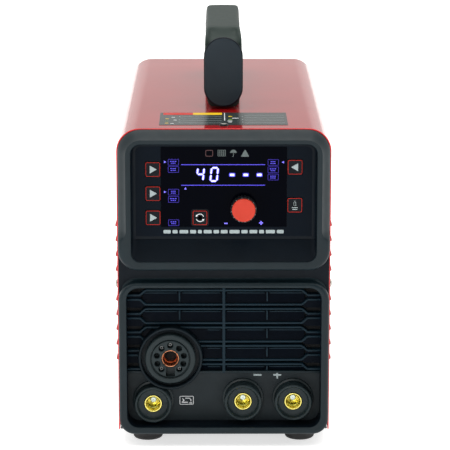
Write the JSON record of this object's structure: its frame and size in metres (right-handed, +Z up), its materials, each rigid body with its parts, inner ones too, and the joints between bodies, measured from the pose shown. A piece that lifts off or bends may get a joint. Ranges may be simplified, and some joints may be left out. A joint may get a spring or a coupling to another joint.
{
  "type": "plasma cutter unit",
  "caption": "Portable plasma cutter with a built-in compressor: red steel cover, dark moulded front with display, buttons, knob, grille, torch and cable sockets, and a top handle.",
  "frame": {"origin": "under the middle of the machine, on the surface that its feet stand on", "axes": "+Z up, front towards -Y, +X to the right seen from the front"},
  "size_m": [0.228, 0.52, 0.4175],
  "materials": {
    "red_paint": "gloss",
    "bezel_plastic": "satin",
    "handle_plastic": "satin",
    "galvanised_steel": "satin",
    "black_tray": "satin",
    "rubber": "matte",
    "zinc_screw": "bright",
    "black_metal": "satin",
    "label_grey": "satin",
    "plate_silver": "brushed",
    "overlay": "satin",
    "window": "gloss",
    "display": "satin",
    "circuit_board": "satin",
    "black_plastic": "satin",
    "button_plastic": "satin",
    "bright_steel": "satin",
    "orange_plastic": "satin",
    "copper": "satin",
    "gold_pin": "bright",
    "socket_plastic": "satin",
    "brass": "satin",
    "fan_plastic": "matte",
    "chrome_wire": "bright",
    "switch_red": "gloss",
    "aluminium": "satin",
    "capacitor_sleeve": "satin",
    "ferrite": "matte",
    "enamelled_wire": "gloss",
    "motor_steel": "satin",
    "cast_aluminium": "cast",
    "hose_blue": "satin"
  },
  "bodies": {
    "case": {"base_tray": "black_tray", "cover": "red_paint", "front_panel": "bezel_plastic", "rear_panel": "bezel_plastic", "component_shelf": "galvanised_steel", "feet": "rubber", "foot_screws": "zinc_screw", "cover_screws": "zinc_screw", "cup_washer": "black_metal", "rear_screws": "zinc_screw", "handle_body": "handle_plastic", "handle_front_cap": "handle_plastic", "handle_rear_cap": "handle_plastic", "handle_screws": "zinc_screw", "top_label": "label_grey", "rating_plate": "plate_silver", "control_overlay": "overlay", "display_window": "window", "display_module": "display", "control_board": "circuit_board", "tactile_switches": "black_plastic", "encoder_body": "bright_steel", "torch_socket_body": "socket_plastic", "torch_socket_contact": "copper", "torch_socket_pins": "gold_pin", "socket_body_left": "socket_plastic", "socket_body_middle": "socket_plastic", "socket_body_right": "socket_plastic", "socket_contact_left": "brass", "socket_contact_middle": "brass", "socket_contact_right": "brass", "socket_nuts": "black_plastic", "output_leads": "copper", "fan_frame": "fan_plastic", "fan_guard": "chrome_wire", "mains_switch_body": "black_plastic", "cable_gland": "black_plastic", "air_inlet": "brass", "power_board": "circuit_board", "heat_sinks": "aluminium", "bulk_capacitors": "capacitor_sleeve", "transformer_core": "ferrite", "transformer_winding": "enamelled_wire", "output_choke": "enamelled_wire", "compressor_motor": "motor_steel", "compressor_pump": "cast_aluminium", "solenoid_valve": "brass", "air_hose": "hose_blue"},
    "button_left_top": {"button_left_top": "button_plastic"},
    "button_left_middle": {"button_left_middle": "button_plastic"},
    "button_left_lower": {"button_left_lower": "button_plastic"},
    "button_select": {"button_select": "button_plastic"},
    "button_right_top": {"button_right_top": "button_plastic"},
    "button_right_lower": {"button_right_lower": "button_plastic"},
    "knob": {"encoder_shaft": "bright_steel", "knob_body": "black_plastic", "knob_cap": "orange_plastic"},
    "fan": {"fan_rotor": "fan_plastic"},
    "mains_rocker": {"mains_switch_rocker": "switch_red"},
    "crank": {"compressor_crank": "bright_steel"}
  },
  "joints": [
    {"name": "press_left_top", "type": "slide", "parent": "case", "child": "button_left_top", "axis": [0, 1, 0], "range_m": [0, 0.0006], "stiffness_N_per_m": 1500},
    {"name": "press_left_middle", "type": "slide", "parent": "case", "child": "button_left_middle", "axis": [0, 1, 0], "range_m": [0, 0.0006], "stiffness_N_per_m": 1500},
    {"name": "press_left_lower", "type": "slide", "parent": "case", "child": "button_left_lower", "axis": [0, 1, 0], "range_m": [0, 0.0006], "stiffness_N_per_m": 1500},
    {"name": "press_select", "type": "slide", "parent": "case", "child": "button_select", "axis": [0, 1, 0], "range_m": [0, 0.0006], "stiffness_N_per_m": 1500},
    {"name": "press_right_top", "type": "slide", "parent": "case", "child": "button_right_top", "axis": [0, 1, 0], "range_m": [0, 0.0006], "stiffness_N_per_m": 1500},
    {"name": "press_right_lower", "type": "slide", "parent": "case", "child": "button_right_lower", "axis": [0, 1, 0], "range_m": [0, 0.0006], "stiffness_N_per_m": 1500},
    {"name": "knob_spin", "type": "hinge", "parent": "case", "child": "knob", "pos_m": [0.0202, -0.244, 0.2523], "axis": [0, -1, 0], "continuous": true},
    {"name": "fan_spin", "type": "hinge", "parent": "case", "child": "fan", "pos_m": [0, 0.211, 0.172], "axis": [0, 1, 0], "continuous": true},
    {"name": "mains_rocker_tilt", "type": "hinge", "parent": "case", "child": "mains_rocker", "pos_m": [-0.058, 0.235, 0.285], "axis": [1, 0, 0], "range_deg": [-20, 0]},
    {"name": "compressor_spin", "type": "hinge", "parent": "case", "child": "crank", "pos_m": [-0.0556, 0.078, 0.062], "axis": [0, 1, 0], "continuous": true}
  ]
}
